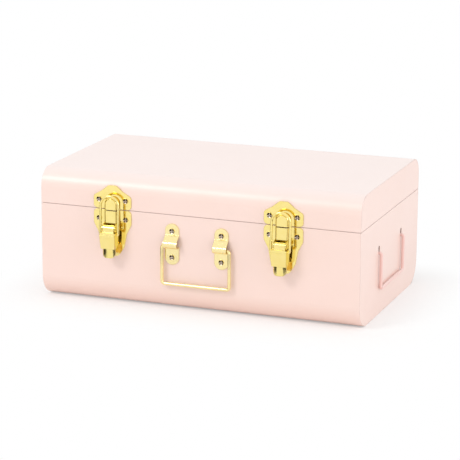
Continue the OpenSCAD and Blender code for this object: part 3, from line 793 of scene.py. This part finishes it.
def set_rivets(name, node, master, centres, turn, body, slot):
    low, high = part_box(node)
    seat = low[1] + plain_head * mm if turn is towards_front else high[1] - plain_head * mm
    copies = []
    for number, (x, z) in enumerate(centres):
        mesh = master.data.copy()
        mesh.transform(Matrix.Translation((x * mm, seat, z * mm)) @ turn)
        copy = bpy.data.objects.new(f"{name}_{number}", mesh)
        scene.collection.objects.link(copy)
        copies.append(copy)
    bpy.ops.object.select_all(action="DESELECT")
    for copy in copies:
        copy.select_set(True)
    bpy.context.view_layer.objects.active = copies[0]
    bpy.ops.object.join()
    row = bpy.context.object
    row.name = name
    bpy.ops.object.select_all(action="DESELECT")
    if slot == "pink_paint":
        coat(row, pink_paint)
    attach(row, body)
    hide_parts(node)
    print(name, "seat", round(seat, 4), "faces", len(row.data.polygons))


print("rows face", [round(v) for v in towards_front.col[2]][:3], "and the other way")

# %% [markdown]
# The latches and the hinges come in pairs, and each is riveted in two columns,
# with one row above the seam and one below it. The front handle's brackets have
# two rivets each.

# %% Set the rivets
seam = 117.0
latch_middle, latch_half, latch_rise = 107.0, 17.0, 11.4
hinge_middle, hinge_half, hinge_rise = 115.0, 13.0, 10.0
bracket_middle, bracket_rows = 31.0, (97.6, 65.8)


def columns(middle, half):
    return [side * middle + shift for side in (-1, 1) for shift in (-half, half)]


latch_spots = columns(latch_middle, latch_half)
hinge_spots = columns(hinge_middle, hinge_half)
bracket_spots = [(side * bracket_middle, row) for side in (-1, 1) for row in bracket_rows]
set_rivets("latch_rivet_heads_lid", "latch_rivets_lid", plate_rivet,
           [(x, seam + latch_rise) for x in latch_spots], towards_front, "lid", "latch_gold")
set_rivets("latch_rivet_heads_case", "latch_rivets_body", plate_rivet,
           [(x, seam - latch_rise) for x in latch_spots], towards_front, "case", "latch_gold")
set_rivets("bracket_rivet_heads", "front_bracket_rivets", bracket_rivet,
           bracket_spots, towards_front, "case", "handle_gold")
set_rivets("hinge_rivet_heads_lid", "hinge_rivets_lid", plate_rivet,
           [(x, seam + hinge_rise) for x in hinge_spots], towards_back, "lid",
           slot_of["hinge_rivets_lid"])
set_rivets("hinge_rivet_heads_case", "hinge_rivets_body", plate_rivet,
           [(x, seam - hinge_rise) for x in hinge_spots], towards_back, "case",
           slot_of["hinge_rivets_body"])
for master in (plate_rivet, bracket_rivet):
    bpy.data.objects.remove(master)

# %% [markdown]
# ## The pockets behind the end handles
#
# The wire of an end handle passes through two slots in the end panel. Behind
# each slot a small pressed pocket keeps the contents away from the wire, so
# that no dark hole shows above the leg. It starts as a block: the side towards
# the slot and the side towards the middle are removed, the back edges are
# rounded, and the skin is then given the thickness of sheet metal. Six flat
# sheets would be as quick, but the real corners are drawn round by the press.

# %% Press one pocket
corner_radius = 1.6
sheet = 0.6
pocket_crease = math.radians(40)


def open_block(piece):
    bpy.ops.mesh.select_all(action="DESELECT")
    shape = bmesh.from_edit_mesh(piece.data)
    for face in shape.faces:
        face.select_set(face.normal.x > 0.9 or face.normal.y < -0.9)
    bmesh.update_edit_mesh(piece.data)
    bpy.ops.mesh.delete(type="FACE")


def round_corners(piece, radius):
    shape = bmesh.from_edit_mesh(piece.data)
    for edge in shape.edges:
        edge.select_set(len(edge.link_faces) == 2)
    bmesh.update_edit_mesh(piece.data)
    bpy.ops.mesh.bevel(offset=radius, segments=4, affect="EDGES")


def press_pocket(inner, outer, near, far, low, high):
    size = ((outer - inner) * mm, (far - near) * mm, (high - low) * mm)
    middle = ((inner + outer) / 2 * mm, (near + far) / 2 * mm, (low + high) / 2 * mm)
    bpy.ops.mesh.primitive_cube_add(size=1, location=middle)
    piece = bpy.context.object
    piece.scale = size
    bpy.ops.object.transform_apply(location=True, rotation=True, scale=True)
    bpy.ops.object.mode_set(mode="EDIT")
    open_block(piece)
    round_corners(piece, corner_radius * mm)
    bpy.ops.object.mode_set(mode="OBJECT")
    wall = piece.modifiers.new("wall", "SOLIDIFY")
    wall.thickness = sheet * mm
    wall.offset = -1
    bpy.ops.object.modifier_apply(modifier=wall.name)
    bpy.ops.object.shade_smooth_by_angle(angle=pocket_crease)
    bpy.ops.object.select_all(action="DESELECT")
    return piece


pocket = press_pocket(inner=190.6, outer=199.1, near=42.9, far=49.6, low=70.8, high=87.2)
print("one pocket has", len(pocket.data.polygons), "faces")

# %% [markdown]
# The four pockets are mirror images of one another. A mirror modifier would
# join them into one piece, so each copy is mirrored by its own matrix instead,
# and its faces are turned the right way out again where that is needed.

# %% Set the pockets
for side in (-1, 1):
    for end in (-1, 1):
        mesh = pocket.data.copy()
        mesh.transform(Matrix.Diagonal((side, end, 1, 1)))
        if side * end < 0:
            mesh.flip_normals()
        name = "pocket_" + ("left" if side < 0 else "right") + ("_front" if end < 0 else "_back")
        copy = bpy.data.objects.new(name, mesh)
        scene.collection.objects.link(copy)
        coat(copy, pink_paint)
        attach(copy, "case")
bpy.data.objects.remove(pocket)
